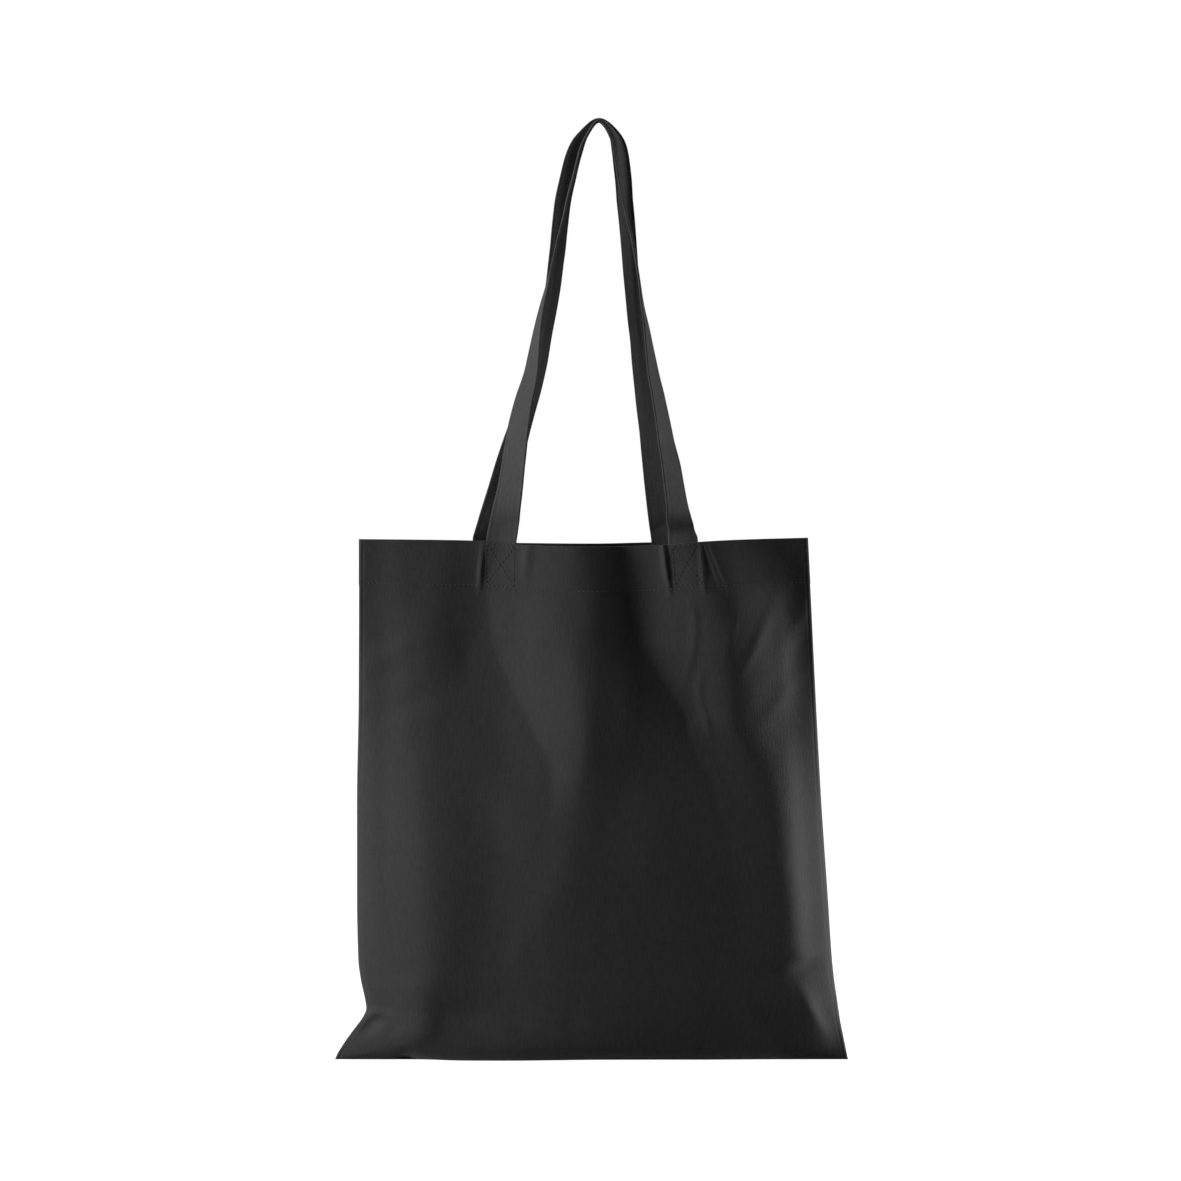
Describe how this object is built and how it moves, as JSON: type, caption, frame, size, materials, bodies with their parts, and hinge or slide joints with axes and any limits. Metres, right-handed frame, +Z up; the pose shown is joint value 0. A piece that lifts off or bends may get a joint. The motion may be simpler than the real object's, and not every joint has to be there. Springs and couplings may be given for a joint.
{
  "type": "tote bag",
  "caption": "Soft cotton tote bag standing on its base, open at the top, with a turned hem, side seams and long sewn-in hand straps held up together.",
  "frame": {"origin": "bottom centre of the bag, on the surface it stands on, midway between the corners of the base and between the panels", "axes": "+X along the front panel from left to right, +Y from the front panel to the back panel, +Z up towards the handles"},
  "size_m": [0.38, 0.1126, 0.6988],
  "materials": {
    "canvas": "plain woven cotton, soft sheen",
    "canvas_inside": "plain woven cotton, inner side",
    "strap": "folded cotton strap",
    "thread": "spun polyester sewing thread"
  },
  "bodies": {
    "bag": {"front_panel": "canvas", "back_panel": "canvas", "front_hem": "canvas_inside", "back_hem": "canvas_inside", "left_seam_allowance": "canvas_inside", "right_seam_allowance": "canvas_inside", "bottom_seam_allowance": "canvas_inside", "left_seam_overlock": "thread", "right_seam_overlock": "thread", "bottom_seam_overlock": "thread", "front_hem_stitching": "thread", "back_hem_stitching": "thread", "front_left_strap_end": "strap", "front_right_strap_end": "strap", "back_left_strap_end": "strap", "back_right_strap_end": "strap", "front_left_box_stitching": "thread", "front_right_box_stitching": "thread", "back_left_box_stitching": "thread", "back_right_box_stitching": "thread"},
    "front_handle": {"front_handle": "strap"},
    "back_handle": {"back_handle": "strap"}
  },
  "joints": [
    {"name": "front_handle_fold", "type": "hinge", "parent": "bag", "child": "front_handle", "pos_m": [0, -0.0225, 0.387], "axis": [1, 0, 0], "range_deg": [0, 160]},
    {"name": "back_handle_fold", "type": "hinge", "parent": "bag", "child": "back_handle", "pos_m": [0, 0.0225, 0.387], "axis": [-1, 0, 0], "range_deg": [0, 160]}
  ]
}
